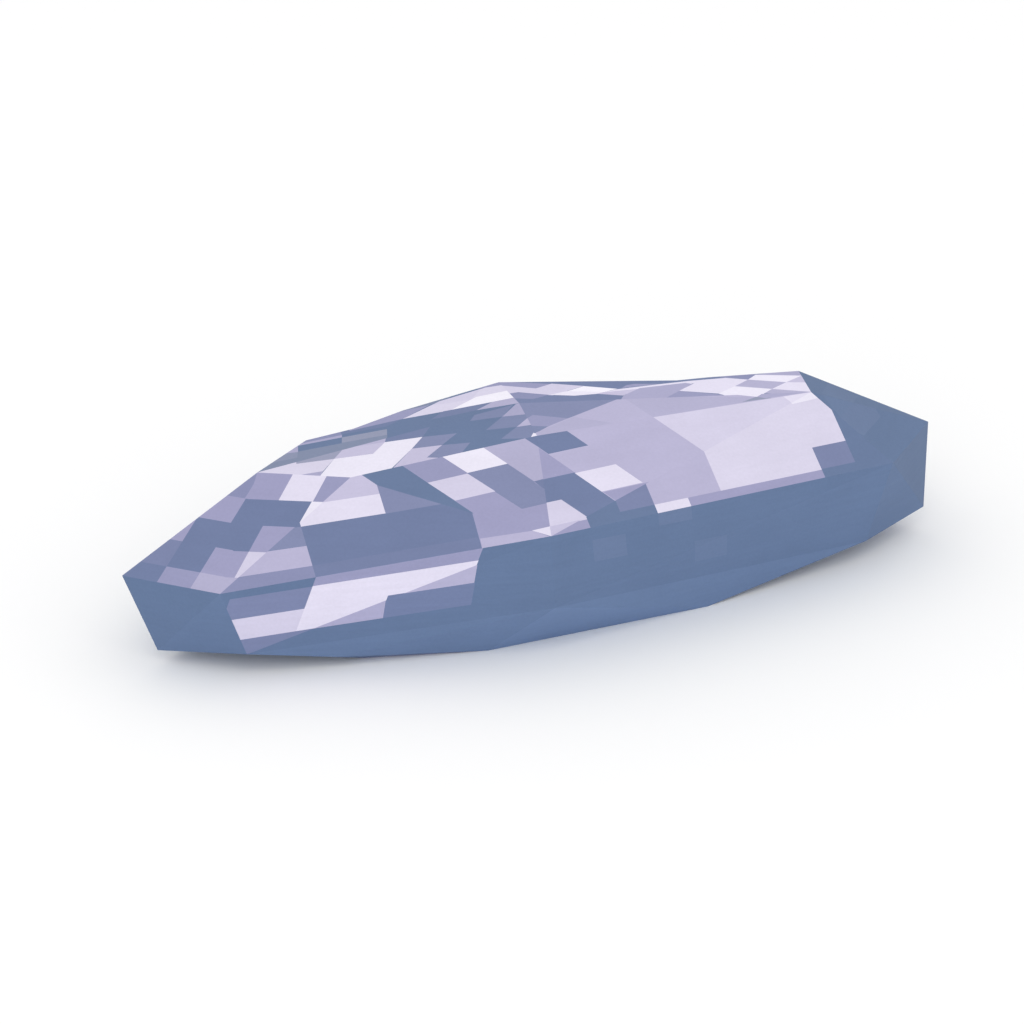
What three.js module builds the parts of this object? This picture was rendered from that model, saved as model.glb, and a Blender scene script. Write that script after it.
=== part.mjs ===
// A loose mica crystal: one thick, lens-shaped plate with flat faces, lying on its underside.
// Millimetres, +Z up. +X runs along the crystal, -Y is the side with the broad sloping faces.
import * as THREE from 'three';

// Driving dimensions
const crystalLength = 114.5;
const drawnLength = 114.5; // the corners below are drawn at this length
const sizeScale = crystalLength / drawnLength;
const restLevel = 0; // height of the flat underside
const liftedEnd = 3.0; // how far the two ends of the underside rise off the surface

const crystalColour = 0x8d94b8;
const crystalRoughness = 0.42;

function corner(x, y, z) {
  return new THREE.Vector3(x, y, z).multiplyScalar(sizeScale);
}

// A corner seen at x, y from above, at the height where it lies in the flat face through a, b and c.
function cornerInFace(x, y, [a, b, c]) {
  const face = new THREE.Plane().setFromCoplanarPoints(a, b, c);
  const placed = corner(x, y, 0);
  placed.z = -face.distanceToPoint(placed) / face.normal.z;
  return placed;
}

// The rim is the sharp edge that runs right round the crystal at about half its height.
const rim = {
  leftTip: corner(-57.3, -1.3, 12.0),
  frontLeft: corner(-48.4, -12.9, 12.8),
  front: corner(-7.5, -23.6, 17.6),
  frontRight: corner(45.0, -17.1, 15.4),
  rightTip: corner(57.2, -4.4, 14.0),
  backRight: corner(50.5, 7.0, 14.2),
  backMidRight: corner(31.0, 16.0, 15.6),
  back: corner(2.0, 23.6, 16.6),
  backMidLeft: corner(-23.5, 19.0, 15.0),
  backLeft: corner(-42.5, 8.5, 13.2),
};

// The top is nearly level. These five corners set the slopes of its four flat faces.
const top = {
  left: corner(-37.1, 2.7, 21.0),
  frontLeft: corner(-26.9, -4.0, 21.2),
  middle: corner(0.1, 3.4, 23.8),
  frontRight: corner(38.3, -6.1, 22.4),
  right: corner(39.8, 0.5, 22.6),
};

// The other corners of the top lie in those faces. The back edge steps in and out.
const topRightFace = [top.middle, top.frontRight, top.right];
top.front = cornerInFace(-1.3, -5.4, [top.left, top.frontLeft, top.middle]);
top.backRight = cornerInFace(27.4, 2.6, topRightFace);
top.backMidRight = cornerInFace(22.9, 3.1, topRightFace);
top.back = cornerInFace(0.2, 10.3, topRightFace);
const topLeftFace = [top.left, top.middle, top.back];
top.backMidLeft = cornerInFace(-8.0, 9.6, topLeftFace);
top.backLeft = cornerInFace(-14.1, 9.2, topLeftFace);
top.leftNotch = cornerInFace(-21.7, 7.7, topLeftFace);
top.leftShoulder = cornerInFace(-28.3, 7.8, topLeftFace);

// The front side turns under along this low crease, before it reaches the underside.
const crease = {
  start: corner(-33.2, -14.4, liftedEnd / 2),
  left: corner(-27.4, -16.3, 4.5),
  front: corner(-6.2, -22.2, 6.6),
};

// The foot is the lower edge of the sides. Only its middle stretch touches the surface.
const foot = {
  leftTip: corner(-53.6, -3.4, 1.6),
  frontLeft: corner(-44.5, -11.6, 2.9),
  frontMidLeft: corner(-29.2, -13.2, restLevel),
  front: corner(-13.7, -17.8, restLevel),
  frontMidRight: corner(17.8, -17.7, restLevel),
  frontRight: corner(43.1, -13.9, liftedEnd),
  rightTip: corner(55.3, -7.4, liftedEnd),
  backRight: corner(48.5, 3.0, 2.6),
  backMidRight: corner(29.0, 12.0, restLevel),
  back: corner(2.0, 18.0, restLevel),
  backMidLeft: corner(-23.0, 14.0, restLevel),
  backLeft: corner(-41.0, 5.0, 1.4),
};

// Two more corners close the flat patch that the crystal rests on.
const rest = {
  left: corner(-36.0, -3.0, restLevel),
  right: corner(34.0, -4.5, restLevel),
};

// Every list of faces below goes anticlockwise round each face, seen from outside.
const topFaces = [
  [top.left, top.frontLeft, top.front, top.middle],
  [top.left, top.middle, top.back, top.backMidLeft, top.backLeft, top.leftNotch, top.leftShoulder],
  [top.front, top.frontRight, top.middle],
  [top.middle, top.frontRight, top.right, top.backRight, top.backMidRight, top.back],
];

const frontSlopes = [
  [rim.leftTip, rim.frontLeft, top.left],
  [rim.frontLeft, top.frontLeft, top.left],
  [rim.frontLeft, rim.front, top.frontLeft],
  [top.frontLeft, rim.front, top.front],
  [top.front, rim.front, top.frontRight],
  [rim.front, rim.frontRight, top.frontRight],
  [top.right, top.frontRight, rim.rightTip],
  [top.frontRight, rim.frontRight, rim.rightTip],
];

const backSlopes = [
  [top.right, rim.rightTip, rim.backRight],
  [top.right, rim.backRight, rim.backMidRight],
  [top.backRight, top.right, rim.backMidRight],
  [top.backMidRight, top.backRight, rim.backMidRight],
  [top.backMidRight, rim.backMidRight, rim.back],
  [top.back, top.backMidRight, rim.back],
  [top.backMidLeft, top.back, rim.back],
  [top.backLeft, top.backMidLeft, rim.back],
  [top.backLeft, rim.back, rim.backMidLeft],
  [top.leftNotch, top.backLeft, rim.backMidLeft],
  [top.leftShoulder, top.leftNotch, rim.backMidLeft],
  [top.leftShoulder, rim.backMidLeft, rim.backLeft],
  [top.left, top.leftShoulder, rim.backLeft],
  [top.left, rim.backLeft, rim.leftTip],
];

const frontSides = [
  [rim.leftTip, foot.leftTip, rim.frontLeft],
  [foot.leftTip, foot.frontLeft, rim.frontLeft],
  [rim.frontLeft, foot.frontLeft, rim.front],
  [foot.frontLeft, crease.start, crease.left, crease.front, rim.front],
  [rim.front, crease.front, rim.frontRight],
  [crease.front, foot.frontRight, rim.frontRight],
  [rim.frontRight, foot.frontRight, foot.rightTip],
  [rim.frontRight, foot.rightTip, rim.rightTip],
  [crease.start, foot.frontMidLeft, foot.front, crease.front, crease.left],
  [crease.front, foot.front, foot.frontMidRight],
  [crease.front, foot.frontMidRight, foot.frontRight],
];

const backSides = [
  [rim.rightTip, foot.rightTip, foot.backRight, rim.backRight],
  [rim.backRight, foot.backRight, foot.backMidRight, rim.backMidRight],
  [rim.backMidRight, foot.backMidRight, foot.back, rim.back],
  [rim.back, foot.back, foot.backMidLeft, rim.backMidLeft],
  [rim.backMidLeft, foot.backMidLeft, foot.backLeft, rim.backLeft],
  [rim.backLeft, foot.backLeft, foot.leftTip, rim.leftTip],
];

const restingFace = [
  foot.frontMidLeft, rest.left, foot.backMidLeft, foot.back,
  foot.backMidRight, rest.right, foot.frontMidRight, foot.front,
];

const liftedFaces = [
  [foot.frontRight, foot.frontMidRight, rest.right],
  [foot.frontRight, rest.right, foot.rightTip],
  [foot.rightTip, rest.right, foot.backRight],
  [foot.backRight, rest.right, foot.backMidRight],
  [rest.left, foot.frontMidLeft, crease.start],
  [rest.left, crease.start, foot.frontLeft],
  [rest.left, foot.frontLeft, foot.leftTip],
  [rest.left, foot.leftTip, foot.backLeft],
  [rest.left, foot.backLeft, foot.backMidLeft],
];

// Fans each flat face into triangles. Each triangle keeps its own corners, so the edges stay sharp.
function crystalGeometry(faces) {
  const points = [];
  for (const face of faces) {
    for (let i = 1; i < face.length - 1; i += 1) {
      points.push(face[0], face[i], face[i + 1]);
    }
  }
  const geometry = new THREE.BufferGeometry().setFromPoints(points);
  geometry.computeVertexNormals();
  return geometry;
}

function crystalMesh() {
  const faces = [
    ...topFaces, ...frontSlopes, ...backSlopes, ...frontSides, ...backSides, restingFace, ...liftedFaces,
  ];
  const material = new THREE.MeshStandardMaterial({
    color: crystalColour,
    roughness: crystalRoughness,
    metalness: 0,
  });
  const mesh = new THREE.Mesh(crystalGeometry(faces), material);
  mesh.name = 'mica_crystal';
  return mesh;
}

const specimen = new THREE.Group();
specimen.add(crystalMesh());

export default specimen;
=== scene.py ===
# A loose mica crystal with flat faces. Flat plates of lilac, white and slate lie in its faces.
# Faces and plates are given in millimetres, and all else in metres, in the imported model's frame.
import math
import random

import bmesh
import bpy
from mathutils import Matrix, Vector
from mathutils.bvhtree import BVHTree


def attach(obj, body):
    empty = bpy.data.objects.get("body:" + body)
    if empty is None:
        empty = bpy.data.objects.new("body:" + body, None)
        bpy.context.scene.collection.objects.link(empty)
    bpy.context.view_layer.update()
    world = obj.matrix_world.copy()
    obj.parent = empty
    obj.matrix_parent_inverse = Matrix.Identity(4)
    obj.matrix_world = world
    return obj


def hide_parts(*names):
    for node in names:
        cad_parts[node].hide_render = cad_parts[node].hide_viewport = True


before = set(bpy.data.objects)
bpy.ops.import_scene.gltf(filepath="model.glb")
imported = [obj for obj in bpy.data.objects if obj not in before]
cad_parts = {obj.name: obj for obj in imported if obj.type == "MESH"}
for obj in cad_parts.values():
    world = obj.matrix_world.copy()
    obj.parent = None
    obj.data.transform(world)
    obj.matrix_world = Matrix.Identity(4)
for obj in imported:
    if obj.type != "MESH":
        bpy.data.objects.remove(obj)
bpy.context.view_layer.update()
print("frame loaded")

millimetre = 0.001


# Camera

camera = {
    "place": (-0.23705, -0.52688, 0.2789),
    "aim": (0.00625, 0.01952, 0.0),
    "lens": 169.8,
    "sensor": 36.0,
    "nearest": 0.01,
    "furthest": 50.0,
}


def addCamera(look):
    data = bpy.data.cameras.new("camera")
    data.lens = look["lens"]
    data.sensor_width = look["sensor"]
    data.clip_start = look["nearest"]
    data.clip_end = look["furthest"]
    made = bpy.data.objects.new("camera", data)
    made.location = look["place"]
    towards = Vector(look["aim"]) - Vector(look["place"])
    made.rotation_euler = towards.to_track_quat("-Z", "Y").to_euler()
    bpy.context.scene.collection.objects.link(made)
    bpy.context.scene.camera = made


addCamera(camera)
print("camera placed")


# Floor and light

studio = {
    "floorWidth": 12.0,
    "floorShade": 0.97,
    "floorRoughness": 0.9,
    "floorGloss": 0.1,
    "skyStrength": 1.0,
    "softboxPlace": (-0.55, -0.9, 0.45),
    "softboxWidth": 0.9,
    "softboxPower": 2.1,
}


def addFloor(look):
    bpy.ops.mesh.primitive_plane_add(size=look["floorWidth"], location=(0, 0, 0))
    floor = bpy.context.object
    floor.name = "floor"
    paint = bpy.data.materials.new("pale floor")
    paint.use_nodes = True
    shader = paint.node_tree.nodes["Principled BSDF"]
    shade = look["floorShade"]
    shader.inputs["Base Color"].default_value = (shade, shade, shade, 1)
    shader.inputs["Roughness"].default_value = look["floorRoughness"]
    shader.inputs["Specular IOR Level"].default_value = look["floorGloss"]
    floor.data.materials.append(paint)


def addLight(look):
    world = bpy.data.worlds.new("white room")
    bpy.context.scene.world = world
    world.use_nodes = True
    background = world.node_tree.nodes["Background"]
    background.inputs["Color"].default_value = (1, 1, 1, 1)
    background.inputs["Strength"].default_value = look["skyStrength"]
    data = bpy.data.lights.new("softbox", "AREA")
    data.shape = "DISK"
    data.size = look["softboxWidth"]
    data.energy = look["softboxPower"]
    softbox = bpy.data.objects.new("softbox", data)
    softbox.location = look["softboxPlace"]
    towards = -Vector(look["softboxPlace"])
    softbox.rotation_euler = towards.to_track_quat("-Z", "Y").to_euler()
    bpy.context.scene.collection.objects.link(softbox)
    bpy.context.scene.view_settings.view_transform = "Standard"


addFloor(studio)
addLight(studio)
print("floor and light made")


# Tones of the mica, as red, green and blue from 0 to 255

tones = {
    "steelSide": (103, 123, 157),
    "steelSideFaint": (107, 126, 160),
    "steel": (109, 127, 161),
    "slate": (117, 130, 166),
    "slateLight": (122, 133, 169),
    "violetSlate": (128, 137, 173),
    "midSlate": (131, 140, 175),
    "duskViolet": (136, 143, 178),
    "greyBlue": (134, 144, 171),
    "mistBlue": (144, 151, 178),
    "dusk": (143, 147, 183),
    "grey": (151, 156, 181),
    "violet": (156, 157, 192),
    "midGrey": (159, 162, 188),
    "lilac": (163, 162, 197),
    "warmLilac": (174, 172, 204),
    "paleLilac": (182, 179, 209),
    "softLilac": (188, 184, 214),
    "silverLilac": (201, 196, 223),
    "pale": (215, 210, 233),
    "paleBright": (221, 216, 237),
    "nearWhite": (230, 225, 244),
    "white": (239, 235, 250),
    "brightWhite": (247, 244, 255),
}


def cell(left, right, low, high):
    return [(left, low), (right, low), (right, high), (left, high)]


# Each flat face: a starting point, the two directions that its plates follow, a spot inside it,
# the tone of its ground, its factor of painted light and shade, and its plates. This factor makes
# all tones of a face lighter or darker to even out how the studio light and the floor's shade fall
# on that face: painted light on faces that get less light, painted shade on faces that get more.
# A later plate lies over an earlier one. A plate that runs past the edge of its face ends there.

levelFace = {"start": (0, 0, 23), "along": (1, 0, 0), "across": (0, 1, 0)}

flatFaces = {
    "leftSlope": {
        "start": (-48.4, -12.9, 12.8),
        "along": (0.612, -0.789, 0.058),
        "across": (0.707, 0.571, 0.417),
        "inside": (-6.0, 7.0),
        "ground": "slate",
        "lightEvening": 0.888,
        "plates": [
            ("violetSlate", cell(-17, -9.4, 2.8, 7.2)),
            ("lilac", cell(-17, -9.4, 7.2, 11.5)),
            ("lilac", cell(-17, -4.4, 11.5, 15.8)),
            ("dusk", cell(-17, -4.55, 15.8, 22)),
            ("lilac", cell(-4.55, 0, 15.8, 22)),
            ("violet", cell(-9.4, -4.4, -1, 2.8)),
            ("paleLilac", cell(-4.4, 1, -1, 2.8)),
            ("lilac", cell(-4.4, 1, 2.8, 7.2)),
        ],
    },
    "leftShoulder": {
        "start": (-48.4, -12.9, 12.8),
        "along": (0.845, -0.534, 0.025),
        "across": (0.674, 0.631, 0.385),
        "inside": (2.0, 13.0),
        "ground": "slate",
        "lightEvening": 0.888,
        "plates": [
            ("paleLilac", cell(-2, 6, -1, 2.9)),
            ("lilac", cell(-4, 0.7, 2.9, 7.5)),
            ("pale", cell(0.7, 7, 2.9, 7.5)),
            ("lilac", cell(0.7, 7, 7.5, 12.1)),
            ("lilac", cell(-6, 0.9, 16.72, 23)),
            ("nearWhite", cell(0.9, 5.35, 16.72, 23)),
            ("violet", cell(5.35, 10, 16.72, 23)),
            ("white", [(5.12, 12.6), (5.22, 16.72), (9.0, 16.72)]),
        ],
    },
    "longSlope": {
        "start": (-7.5, -23.6, 17.6),
        "along": (0.961, -0.253, 0.112),
        "across": (-0.137, -0.907, -0.398),
        "inside": (-20.0, -4.0),
        "ground": "slate",
        "lightEvening": 0.888,
        "plates": [
            ("duskViolet", [(-38, -5.7), (-30.3, -5.3), (-30.3, -8.6), (-38, -9)]),
            ("softLilac", [(-43, -2.2), (-30.3, -1.9), (-30.3, -5.3), (-43, -5.8)]),
            ("dusk", [(-45, -2.2), (-30.3, -1.9), (-30.3, 1), (-45, 1)]),
            ("silverLilac", [(-29, -12.0), (-19.4, -11.8), (-19.3, -17), (-29, -17)]),
            ("nearWhite", [(-30.3, -8.6), (-19.4, -8.4), (-19.4, -11.8), (-30.3, -12.1)]),
            ("duskViolet", cell(-19.4, -10, -17, -8.35)),
            ("slateLight", cell(-30.3, -9, -1.9, 1)),
            ("lilac", [(-8.7, -7), (1, -0.4), (1, 1), (-9, 1)]),
            ("softLilac", [(-8.8, -1.6), (-2, -1.4), (1, 1), (-9, 1)]),
        ],
    },
    "middleSlope": {
        "start": (-19.8, -4.5, 21.7),
        "along": (0.996, -0.048, 0.071),
        "across": (0.394, -0.896, -0.205),
        "inside": (3.0, 7.0),
        "ground": "lilac",
        "lightEvening": 0.907,
        "plates": [
            ("silverLilac", cell(-9, -5.5, -2, 6)),
            ("steel", [(-5.5, -2), (0.05, -2), (-0.25, 13.3), (-5.7, 13.3)]),
            ("violet", cell(0, 5.5, -2, 4.55)),
            ("white", cell(5.5, 11.2, -2, 4.42)),
            ("pale", cell(-0.1, 5.4, 4.55, 9.5)),
            ("duskViolet", cell(5.4, 11, 4.42, 9.5)),
            ("paleLilac", [(11.2, -2), (16.9, -2), (16.7, 9.4), (10.9, 9.4)]),
            ("slate", cell(16.9, 21, -2, 5)),
            ("slateLight", [(10.9, 9.3), (14, 9.15), (14, 12), (10.6, 12)]),
            ("duskViolet", cell(5.3, 10.75, 9.5, 14.3)),
            ("nearWhite", cell(0, 8, 19.1, 23)),
        ],
    },
    "broadSlope": {
        "start": (0.6, -13.3, 20.6),
        "along": (0.999, 0.052, 0.006),
        "across": (0.406, -0.875, -0.265),
        "inside": (10.0, -4.0),
        "ground": "softLilac",
        "lightEvening": 0.920,
        "plates": [
            ("lilac", cell(-7, 0, -8, 0)),
            ("slate", cell(0.05, 5.85, -12, -4.85)),
            ("slate", cell(-10, 0, -0.15, 4.5)),
            ("slate", cell(-5.8, -0.12, 4.5, 10)),
            ("nearWhite", cell(-0.12, 5.85, 0, 4.7)),
            ("lilac", cell(0, 7, 4.85, 8)),
            ("pale", [(-13, 4.45), (-5.8, 4.5), (-5.7, 9.15), (-13, 9.25)]),
            ("silverLilac", cell(-15, -4, 9.15, 13)),
            ("pale", cell(17.8, 46, -11, 8)),
            ("nearWhite", [(36.2, -7), (41, -7), (41, -3), (36.0, -4.3)]),
        ],
    },
    "lowSlope": {
        "start": (8.5, -20.4, 17.6),
        "along": (0.992, 0.12, -0.044),
        "across": (-0.043, -0.871, -0.489),
        "inside": (15.0, -3.0),
        "ground": "paleBright",
        "lightEvening": 0.900,
        "plates": [
            ("lilac", cell(-18, -10.2, -4, 3)),
            ("pale", [(-10.2, -0.6), (-12.0, 0.08), (-10.2, 0.08)]),
            ("steel", cell(-10.2, -5.2, -3, 3)),
            ("violetSlate", cell(-5.2, 0, -4.5, 0)),
            ("steel", cell(-5.2, 0, 0, 3)),
            ("softLilac", cell(0, 10.2, -8, 0)),
            ("nearWhite", cell(0, 5.1, 0, 3)),
            ("lilac", cell(5.1, 26, 0, 3)),
            ("violetSlate", cell(26, 31.35, -3.7, -0.1)),
            ("steel", cell(31.35, 40, -11, -0.1)),
            ("steel", cell(26, 40, -0.1, 3)),
            ("white", [(24, -13.6), (29.5, -13.6), (30.1, -11.2), (26, -11.1)]),
        ],
    },
    "topWedge": {
        **levelFace,
        "inside": (12.0, -3.0),
        "ground": "softLilac",
        "lightEvening": 0.936,
        "plates": [
            ("duskViolet", [(-2, 4.5), (14.3, 1.0), (14.3, 0.75), (-1.0, -4.2), (-3, -2.3)]),
            ("violet", [(-0.6, -0.7), (0.5, -0.1), (4.5, -2.4), (1.1, -3.6), (-1.2, -2.6)]),
            ("midSlate", [(-1.2, -2.6), (1.1, -3.6), (-1.1, -4.7), (-2.5, -4.7)]),
            ("paleLilac", [(-1.1, -4.6), (5.3, -2.3), (9.7, -5.5), (-1.2, -5.5)]),
            ("paleLilac", [(13.8, 0.4), (19.6, -1.1), (30.4, -4.9), (28.4, -5.7), (15.3, -5.8)]),
            ("warmLilac", [(14.3, 0.9), (23.7, -2.5), (18.5, -1.1)]),
            ("grey", [(28.2, -5.7), (30.8, -4.9), (32.6, -5.9)]),
            ("white", [(26.5, -2.4), (30.8, -5.0), (33.4, -4.0)]),
            ("warmLilac", [(30.8, -5.0), (32.7, -4.0), (38.4, -6.0), (33.8, -5.8), (31.8, -5.7)]),
        ],
    },
    "topFront": {
        **levelFace,
        "inside": (-8.0, -1.0),
        "ground": "steel",
        "lightEvening": 0.912,
        "plates": [
            ("white", [(-30.4, -2.0), (-27.0, 1.3), (-21.6, 0.1), (-21.5, -5), (-30.4, -5)]),
            ("white", [(-22.0, 0.2), (-19.5, 2.2), (-14.65, 1.2), (-17.05, -0.95), (-21.9, -4.8)]),
            ("paleBright", [(-37.5, 3.0), (-31.6, 3.0), (-27.0, 1.3), (-29.4, -0.9), (-33.4, -0.3)]),
            ("warmLilac", [(-33.2, -0.3), (-29.4, -0.9), (-30.4, -2.1)]),
            ("midGrey", [(-31.8, 2.4), (-31.3, 4), (-25, 4), (-24.9, 3.1), (-27.0, 1.3)]),
            ("silverLilac", [(-25.0, 3.1), (-23.0, 3.1), (-19.5, 2.2), (-22.0, 0.2), (-27.0, 1.3)]),
            ("softLilac", [(-23.5, 3.0), (-18.9, 3.4), (-18.3, 2.6), (-19.5, 2.2)]),
            ("slateLight", [(-18.9, 3.3), (-12.3, 3.6), (-14.65, 1.2), (-19.5, 2.2)]),
            ("duskViolet", [(-14.65, 1.2), (-10.3, 0.0), (-13.2, -1.9), (-17.05, -0.95)]),
            ("silverLilac", [(-17.05, -0.95), (-13.2, -1.9), (-14.0, -5.2), (-21.9, -5.0)]),
            ("duskViolet", [(-13.2, -1.9), (-9.7, -3.0), (-12.2, -5.3), (-14.3, -5.0), (-16.2, -3.9)]),
            ("midSlate", [(-7.5, 2.1), (-5.3, 4.4), (-0.3, 3.8), (-3.3, 1.2)]),
            ("warmLilac", [(-3.3, 1.2), (0.3, 3.9), (0.5, 0.1)]),
            ("midSlate", [(-6.6, -1.0), (-3.3, 1.2), (0.5, 0.0), (-2.7, -2.1)]),
            ("softLilac", [(-2.7, -2.1), (-0.3, -0.5), (0, -2.7)]),
            ("midSlate", [(-5.8, -4.0), (-2.7, -2.1), (0, -2.8), (0, -4.7), (-2.3, -5.6)]),
            ("white", [(-2.1, -5.3), (-1.4, -4.5), (-0.8, -5.4), (-1.3, -6)]),
        ],
    },
    "topBack": {
        **levelFace,
        "inside": (-12.0, 5.5),
        "ground": "steel",
        "lightEvening": 0.917,
        "plates": [
            ("greyBlue", [(-38.2, 2.0), (-31.9, 1.0), (-30.7, 5.0), (-37.0, 6.0)]),
            ("mistBlue", [(-37.5, 4.5), (-31.0, 3.9), (-30.4, 5.3), (-35.0, 6.3)]),
            ("warmLilac", [(-34.0, 6.2), (-30.4, 5.3), (-29.8, 6.9), (-29.0, 9.5), (-31.9, 11)]),
            ("warmLilac", [(-29.8, 6.9), (-23.9, 6.2), (-22.7, 9.2), (-29.0, 9.7)]),
            ("dusk", [(-29.5, 7.3), (-23.6, 6.8), (-22.7, 9.2), (-28.1, 9.2)]),
            ("greyBlue", [(-30.4, 5.4), (-24.4, 4.7), (-25.3, 2.4), (-31.9, 2.0)]),
            ("grey", [(-23.9, 6.2), (-17.9, 5.4), (-18.5, 3.9), (-24.5, 4.8)]),
            ("greyBlue", [(-24.5, 4.8), (-18.5, 3.9), (-19.1, 2.4), (-25.4, 2.3)]),
            ("slate", [(-23.7, 7.0), (-17.6, 6.1), (-15.0, 7.1), (-21.2, 7.9), (-23.3, 7.9)]),
            ("violet", [(-22.4, 7.4), (-15.0, 7.0), (-8.3, 9.7), (-13.7, 11), (-21.6, 9)]),
            ("greyBlue", [(-14.5, 9.1), (-10.3, 8.9), (-7.1, 9.5), (-6.5, 11.0), (-14.0, 10.5)]),
            ("paleBright", [(-15.0, 7.0), (-8.8, 9.2), (0.4, 9.95), (0.4, 5.2), (-8.6, 6.1)]),
            ("pale", [(-10.2, 8.7), (-8.8, 9.2), (-2.5, 9.75), (-5.0, 7.6), (-8.0, 8.1)]),
            ("brightWhite", [(-8.6, 6.1), (-4.1, 7.9), (0.3, 7.5), (0.3, 5.2)]),
            ("violet", [(-3.0, 9.95), (0.4, 9.3), (0.4, 10.6), (-3.0, 10.6)]),
            ("slateLight", [(-11.8, 5.0), (-9.5, 6.3), (-2.7, 5.5), (-5.6, 4.4), (-8.6, 4.6)]),
            ("paleLilac", [(-5.6, 4.4), (-2.8, 5.5), (0.3, 5.2), (0.3, 3.4)]),
        ],
    },
    "topRight": {
        **levelFace,
        "inside": (12.0, 1.8),
        "ground": "slate",
        "lightEvening": 0.943,
        "plates": [
            ("slateLight", [(0, 6), (5, 4.4), (14.4, 1.2), (14.8, 0), (0, 3)]),
            ("violet", [(0, 9.3), (0, 10.6), (6.7, 7.5), (4.1, 6.9)]),
            ("pale", [(0, 9.3), (4.1, 6.9), (4.9, 4.4), (0, 6.0)]),
            ("pale", [(4.1, 6.9), (6.7, 7.6), (10.4, 5.55), (5.3, 4.2), (4.9, 4.4)]),
            ("white", [(7.8, 4.8), (12.0, 2.9), (11.1, 2.7), (8.0, 3.15), (5.0, 4.45)]),
            ("brightWhite", [(10.4, 5.5), (14.3, 3.25), (12.0, 2.9), (7.8, 4.8)]),
            ("violet", [(14.9, 3.3), (15.9, 3.9), (17.1, 3.95), (20.4, 2.8)]),
            ("silverLilac", [(11.0, 2.75), (12.0, 2.9), (17.4, 2.5), (14.1, 1.1)]),
            ("nearWhite", [(14.3, 3.15), (20.4, 2.75), (24.6, 2.4), (24.4, 1.5), (12.0, 2.9)]),
            ("nearWhite", [(24.5, 2.4), (30.1, 1.6), (24.3, 1.5)]),
            ("dusk", [(0, 6.6), (1.4, 6.6), (4.9, 4.5), (2.4, 4.0), (0, 5.0)]),
            ("warmLilac", [(14.2, 1.1), (17.2, 2.5), (23.7, 2.0), (24.4, 1.4), (18.8, -1.8), (13.0, -0.3)]),
            ("violet", [(19.2, -1.4), (21.8, 0.0), (26.7, -2.9), (26.0, -4.4)]),
            ("nearWhite", [(21.8, 0.0), (25.3, 1.8), (30.1, 1.6), (32.1, 0.2), (29.5, -1.1), (26.4, -2.5)]),
            ("white", [(26.4, -2.5), (29.5, -1.1), (33.8, -3.5), (30.9, -5.2), (28.2, -5.2)]),
            ("dusk", [(28.6, 2.2), (32.1, 0.2), (34.0, 1.3), (32.2, 2.8)]),
            ("paleLilac", [(29.5, -1.1), (32.1, 0.2), (36.6, -2.2), (33.8, -3.5)]),
            ("white", [(32.1, 0.2), (33.8, 1.3), (39.5, -1.0), (36.6, -2.2)]),
            ("warmLilac", [(33.8, 1.25), (36.7, 1.3), (41, 1.2), (39.5, -1.0)]),
            ("nearWhite", [(33.8, -3.5), (36.6, -2.2), (39.5, -3.2), (38.7, -6.6)]),
            ("silverLilac", [(36.6, -2.2), (39.9, -0.8), (39.5, -3.3)]),
            ("paleLilac", [(32.2, -4.4), (33.8, -3.5), (38.3, -6.0), (37.9, -6.9)]),
        ],
    },
    "rightUpper": {
        "start": (43.2, -1.4, 20.8),
        "along": (0.789, -0.449, -0.419),
        "across": (-0.578, -0.8, 0.161),
        "inside": (3.0, 1.0),
        "ground": "steelSide",
        "lightEvening": 0.898,
        "plates": [
            ("steelSideFaint", [(0, -1), (4.4, -1), (4.3, 2.8), (0, 4.9)]),
        ],
    },
    "rightLower": {
        "start": (45.0, -5.5, 19.4),
        "along": (0.912, 0.144, -0.385),
        "across": (-0.692, -0.718, 0.08),
        "inside": (4.0, 6.0),
        "ground": "steelSide",
        "lightEvening": 0.936,
        "plates": [
            ("steelSideFaint", [(-6.2, -0.9), (0, 0), (0, 6.1)]),
            ("steel", [(0, 0), (3.9, 0), (6.2, 3.1), (6.2, 11.3), (1.8, 8.8), (0, 6.1)]),
        ],
    },
    "sideWedge": {
        "start": (-48.4, -12.9, 12.8),
        "along": (0.965, -0.248, 0.09),
        "across": (-0.222, 0.261, -0.939),
        "inside": (14.0, 4.0),
        "ground": "steelSide",
        "lightEvening": 0.917,
        "plates": [
            ("violetSlate", cell(1.6, 12.15, 1.2, 4.8)),
            ("pale", cell(0, 12.15, 4.8, 8.47)),
            ("violetSlate", cell(0, 18, 8.47, 13)),
            ("violet", cell(12.15, 33.4, -2, 1.15)),
            ("nearWhite", cell(12.15, 33.45, 1.15, 8.47)),
            ("slate", cell(22.9, 34, 4.8, 9)),
        ],
    },
    "sideLeft": {
        "start": (-27.4, -17.3, 10.3),
        "along": (0.959, -0.266, 0.094),
        "across": (-0.084, 0.176, -0.981),
        "inside": (8.0, 4.0),
        "ground": "steelSide",
        "lightEvening": 0.936,
        "plates": [
            ("paleLilac", cell(1, 11.15, -4, 0)),
            ("warmLilac", cell(-12, -0.15, 0, 3.4)),
            ("slate", cell(-0.15, 11.25, 0, 3.4)),
        ],
    },
    "sideMiddle": {
        "start": (-1.3, -22.6, 15.4),
        "along": (0.99, 0.126, -0.06),
        "across": (0.166, 0.129, -0.978),
        "inside": (8.0, 1.0),
        "ground": "steelSide",
        "lightEvening": 0.939,
        "plates": [
            ("steel", cell(0, 5, 0, 3.4)),
            ("steel", cell(10.2, 15.3, -2.2, -0.2)),
            ("steelSideFaint", cell(4.9, 9.8, 6.9, 9.2)),
            ("steelSideFaint", cell(15.3, 20.4, 3.3, 6.9)),
        ],
    },
    "sideRight": {
        "start": (-1.3, -22.6, 15.4),
        "along": (0.99, 0.126, -0.06),
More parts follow.
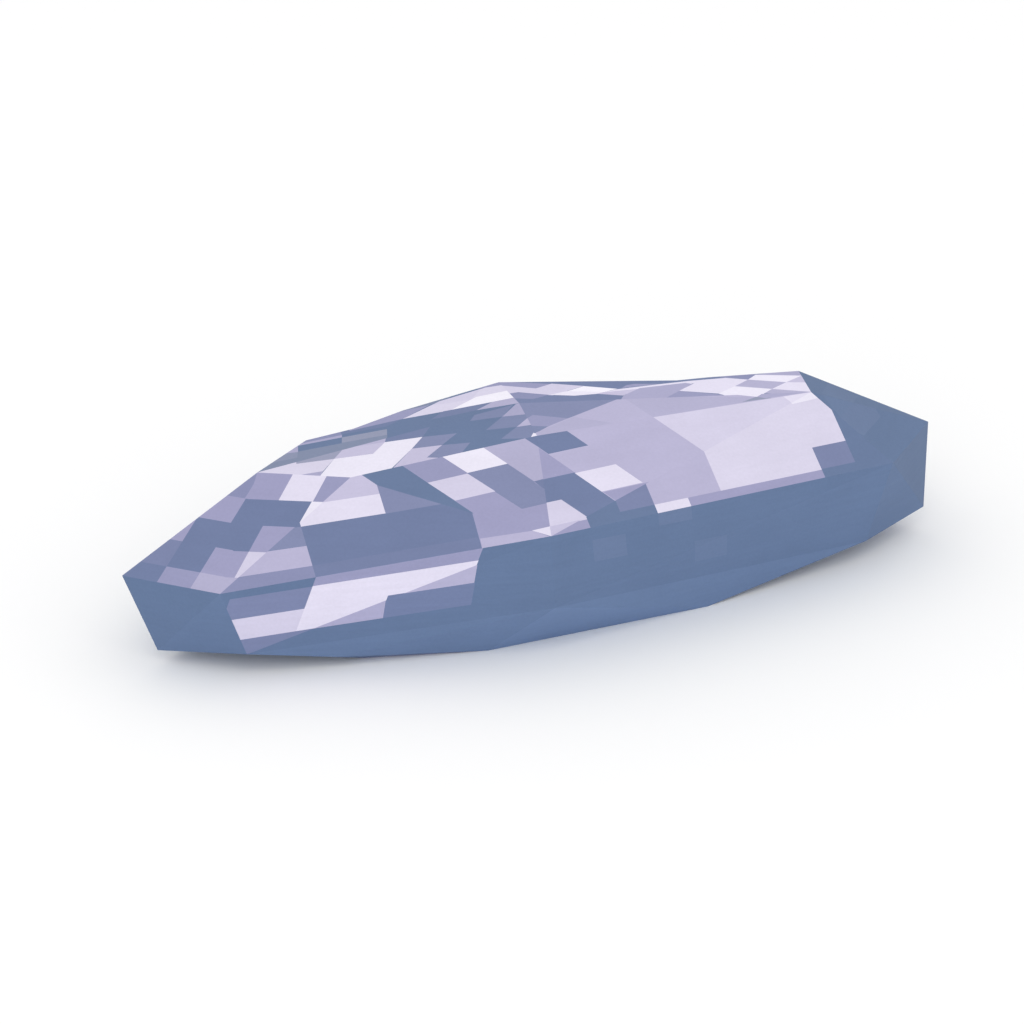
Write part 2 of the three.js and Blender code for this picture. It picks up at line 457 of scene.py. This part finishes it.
        "across": (0.166, 0.129, -0.978),
        "inside": (25.0, 6.0),
        "ground": "steelSide",
        "lightEvening": 0.984,
        "plates": [
            ("steelSideFaint", cell(15.3, 20.4, 3.3, 6.9)),
        ],
    },
}


# Faces of one tone: a spot in each, in millimetres, its tone and its factor of painted light and
# shade, which evens out how the studio light falls on the face

plainFaces = {
    "leftEnd": {"spot": (-53.1, -5.9, 8.8), "ground": "steelSide", "lightEvening": 0.893},
    "leftFoot": {"spot": (-48.8, -9.3, 5.8), "ground": "steelSide", "lightEvening": 0.955},
    "rightEnd": {"spot": (47.8, -12.8, 7.1), "ground": "steelSide", "lightEvening": 0.955},
    "rightTip": {"spot": (52.5, -9.6, 10.8), "ground": "steelSide", "lightEvening": 0.86},
    # The low faces get painted light, with factors above one, over the floor's contact shade; the right tip
    # and the ends get painted shade
    "lowLeft": {"spot": (-21.9, -16.8, 2.5), "ground": "steelSide", "lightEvening": 1.041},
    "lowMiddle": {"spot": (-0.7, -19.2, 2.2), "ground": "steelSide", "lightEvening": 1.184},
    "lowRight": {"spot": (18.2, -17.9, 3.2), "ground": "steelSide", "lightEvening": 1.041},
}


# Faces that turn away from the broad side, and the underside, carry plates in loose rows. Length
# and height are in millimetres, widths in lengths. Overrun takes the rows past the face's edge.
# The Above and Below values compare with the face's direction.

looseRows = {
    "seed": 11,
    "length": 5.3,
    "height": 4.4,
    "lean": 0.45,
    "widths": (1, 1, 1, 2, 3),
    "overrun": 1.5,
    "nearlyLevel": 0.2,
    # Painted shade: every tone on these faces is darkened to even out the studio light
    "lightEvening": 0.9,
    "slopeAbove": 0.1,
    "underBelow": -0.5,
    "frontBelow": 0.05,
    "slopeTones": {
        None: 5,
        "slateLight": 2,
        "duskViolet": 3,
        "dusk": 2,
        "lilac": 4,
        "softLilac": 3,
        "pale": 2,
        "white": 2,
    },
    "sideTones": {
        None: 22,
        "steel": 3,
        "slateLight": 2,
        "violetSlate": 2,
        "lilac": 1,
    },
}


# How the mesh is joined and cut, in millimetres and degrees
cutting = {
    "sameCorner": 0.01,
    "onCut": 0.001,
    "faceLean": 0.8,
    "plateLean": 0.3,
}


# The curve that turns a screen tone into an amount of light
screen = {
    "brightest": 255,
    "offset": 0.055,
    "power": 2.4,
}


# Scales a tone by its face's factor of painted light and shade, which brightens faces that get less studio
# light and darkens faces that get more
def toneColour(name, lightEvening):
    offset = screen["offset"]
    mixed = []
    for part in tones[name]:
        share = part / screen["brightest"]
        mixed.append(lightEvening * ((share + offset) / (1 + offset)) ** screen["power"])
    return (*mixed, 1.0)


# The model's mesh in millimetres, with the triangles of each flat face joined again
def crystalSolid():
    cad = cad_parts["mica_crystal"].data
    solid = bmesh.new()
    solid.from_mesh(cad)
    bmesh.ops.transform(solid, matrix=Matrix.Scale(1 / millimetre, 4), verts=solid.verts)
    sameCorner = cutting["sameCorner"]
    bmesh.ops.remove_doubles(solid, verts=solid.verts, dist=sameCorner)
    flat = math.radians(cutting["faceLean"])
    bmesh.ops.dissolve_limit(solid, angle_limit=flat, verts=solid.verts, edges=solid.edges)
    solid.faces.ensure_lookup_table()
    solid.normal_update()
    return solid


# One face to a row: the face, its ground, its factor of painted light and shade, the outlines in
# it, and the way they are swept
def drawnFaces(solid):
    tree = BVHTree.FromBMesh(solid)
    rows = []
    for look in flatFaces.values():
        start = Vector(look["start"])
        along = Vector(look["along"])
        across = Vector(look["across"])
        inside = start + look["inside"][0] * along + look["inside"][1] * across
        nearest = tree.find_nearest(inside)[2]
        outlines = []
        for tone, outline in look["plates"]:
            outlines.append((tone, [start + a * along + b * across for a, b in outline]))
        rows.append((solid.faces[nearest], look["ground"], look["lightEvening"], outlines, along.cross(across)))
    for look in plainFaces.values():
        nearest = tree.find_nearest(look["spot"])[2]
        face = solid.faces[nearest]
        rows.append((face, look["ground"], look["lightEvening"], [], face.normal.copy()))
    return rows


# Rows run level round the crystal; on a face that is nearly level they run along X
def faceDirections(face, nearlyLevel):
    along = Vector((0, 0, 1)).cross(face.normal)
    if along.length < nearlyLevel:
        along = Vector((1, 0, 0))
    along.normalize()
    across = face.normal.cross(along).normalized()
    return along, across


def looseOutlines(face, look, weights, draw):
    along, across = faceDirections(face, look["nearlyLevel"])
    start = face.calc_center_median()
    leaning = (across + look["lean"] * along).normalized()
    reach = max((corner.co - start).length for corner in face.verts) * look["overrun"]
    rows = math.ceil(reach / look["height"])
    found = []
    for row in range(-rows, rows):
        low = row * look["height"]
        left = -reach + draw.random() * look["length"]
        while left < reach:
            width = look["length"] * draw.choice(look["widths"])
            tone = draw.choices(list(weights), weights.values())[0]
            if tone:
                corners = cell(left, left + width, low, low + look["height"])
                found.append((tone, [start + a * along + b * leaning for a, b in corners]))
            left += width
    return found


def looseFaces(solid, look, drawn):
    draw = random.Random(look["seed"])
    rows = []
    for face in solid.faces:
        slope = face.normal.z > look["slopeAbove"]
        underside = face.normal.z < look["underBelow"]
        front = face.normal.y < look["frontBelow"] and not slope and not underside
        if face in drawn or front:
            continue
        weights = look["slopeTones" if slope else "sideTones"]
        outlines = looseOutlines(face, look, weights, draw)
        ground = "slate" if slope else "steelSide"
        rows.append((face, ground, look["lightEvening"], outlines, face.normal.copy()))
    return rows


# Cuts one straight-sided outline, swept along axis, into the flat pieces of a face
def cutPlate(solid, pieces, outline, axis):
    inner = list(pieces)
    outer = []
    centre = sum(outline, Vector()) / len(outline)
    for i, corner in enumerate(outline):
        side = outline[(i + 1) % len(outline)] - corner
        outward = side.cross(axis).normalized()
        if outward.dot(centre - corner) > 0:
            outward.negate()
        edges = {edge for piece in inner for edge in piece.edges}
        points = {point for piece in inner for point in piece.verts}
        parts = inner + list(edges) + list(points)
        cut = bmesh.ops.bisect_plane(
            solid, geom=parts, dist=cutting["onCut"], plane_co=corner, plane_no=outward
        )
        inner = []
        for half in cut["geom"]:
            if not isinstance(half, bmesh.types.BMFace):
                continue
            if (half.calc_center_median_weighted() - corner).dot(outward) > 0:
                outer.append(half)
            else:
                inner.append(half)
        if not inner:
            break
    return inner, outer


# Until the tones are written, a piece's material number says which plate it belongs to
def layPlates(solid, rows):
    paints = [("steelSide", 1.0)]
    # Each paint is a tone with its face's factor of painted light and shade
    for face, ground, lightEvening, outlines, axis in rows:
        paints.append((ground, lightEvening))
        face.material_index = len(paints) - 1
        pieces = [face]
        for tone, outline in outlines:
            paints.append((tone, lightEvening))
            inner, outer = cutPlate(solid, pieces, outline, axis)
            for piece in inner:
                piece.material_index = len(paints) - 1
            pieces = inner + outer
    flat = math.radians(cutting["plateLean"])
    bmesh.ops.dissolve_limit(
        solid, angle_limit=flat, verts=solid.verts, edges=solid.edges, delimit={"MATERIAL"}
    )
    return paints


def writeTones(solid, paints):
    colours = solid.loops.layers.float_color.new("plateTone")
    for face in solid.faces:
        colour = toneColour(*paints[face.material_index])
        for loop in face.loops:
            loop[colours] = colour
        face.material_index = 0
        face.smooth = False


def crystalMesh():
    solid = crystalSolid()
    rows = drawnFaces(solid)
    drawn = {row[0] for row in rows}
    rows += looseFaces(solid, looseRows, drawn)
    paints = layPlates(solid, rows)
    print(len(paints), "plates laid")
    writeTones(solid, paints)
    bmesh.ops.transform(solid, matrix=Matrix.Scale(millimetre, 4), verts=solid.verts)
    mesh = bpy.data.meshes.new("mica_crystal_body")
    solid.to_mesh(mesh)
    solid.free()
    return mesh


# Pearly mica: the tone of each plate, with faint clouding, a fine grain and very thin level layers

mica = {
    "roughness": 0.5,
    "gloss": 0.05,
    "cloudScale": 160.0,
    "cloudDetail": 4.0,
    "cloudShare": 0.02,
    "grainScale": 2600.0,
    "grainDetail": 2.0,
    "grainShare": 0.02,
    "layerScale": (60.0, 60.0, 1600.0),
    "layerDetail": 3.0,
    "layerShare": 0.015,
    "layerDepth": 0.00004,
    "noiseRange": (0.3, 0.7),
}


def addNoise(tree, place, scale, detail):
    noise = tree.nodes.new("ShaderNodeTexNoise")
    noise.inputs["Scale"].default_value = scale
    noise.inputs["Detail"].default_value = detail
    tree.links.new(place, noise.inputs["Vector"])
    return noise.outputs["Fac"]


def addShade(tree, pattern, noiseRange, share):
    shade = tree.nodes.new("ShaderNodeMapRange")
    shade.inputs["From Min"].default_value = noiseRange[0]
    shade.inputs["From Max"].default_value = noiseRange[1]
    shade.inputs["To Min"].default_value = 1 - share
    shade.inputs["To Max"].default_value = 1 + share
    tree.links.new(pattern, shade.inputs["Value"])
    return shade.outputs["Result"]


def shadeTone(tree, tone, shade):
    shaded = tree.nodes.new("ShaderNodeVectorMath")
    shaded.operation = "SCALE"
    tree.links.new(tone, shaded.inputs[0])
    tree.links.new(shade, shaded.inputs["Scale"])
    return shaded.outputs["Vector"]


def micaMaterial(look):
    material = bpy.data.materials.new("pearly mica")
    material.use_nodes = True
    tree = material.node_tree
    shader = tree.nodes["Principled BSDF"]
    shader.inputs["Roughness"].default_value = look["roughness"]
    shader.inputs["Specular IOR Level"].default_value = look["gloss"]
    place = tree.nodes.new("ShaderNodeTexCoord").outputs["Object"]
    stretch = tree.nodes.new("ShaderNodeMapping")
    stretch.inputs["Scale"].default_value = look["layerScale"]
    tree.links.new(place, stretch.inputs["Vector"])
    clouds = addNoise(tree, place, look["cloudScale"], look["cloudDetail"])
    grain = addNoise(tree, place, look["grainScale"], look["grainDetail"])
    layers = addNoise(tree, stretch.outputs["Vector"], 1.0, look["layerDetail"])
    plate = tree.nodes.new("ShaderNodeVertexColor")
    plate.layer_name = "plateTone"
    tone = plate.outputs["Color"]
    for pattern, share in ((clouds, "cloudShare"), (grain, "grainShare"), (layers, "layerShare")):
        tone = shadeTone(tree, tone, addShade(tree, pattern, look["noiseRange"], look[share]))
    tree.links.new(tone, shader.inputs["Base Color"])
    ridges = tree.nodes.new("ShaderNodeBump")
    ridges.inputs["Distance"].default_value = look["layerDepth"]
    tree.links.new(layers, ridges.inputs["Height"])
    tree.links.new(ridges.outputs["Normal"], shader.inputs["Normal"])
    return material


crystal = bpy.data.objects.new("mica_crystal_body", crystalMesh())
bpy.context.scene.collection.objects.link(crystal)
crystal.data.materials.append(micaMaterial(mica))
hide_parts("mica_crystal")
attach(crystal, "root")
print("crystal made with", len(crystal.data.polygons), "flat pieces")
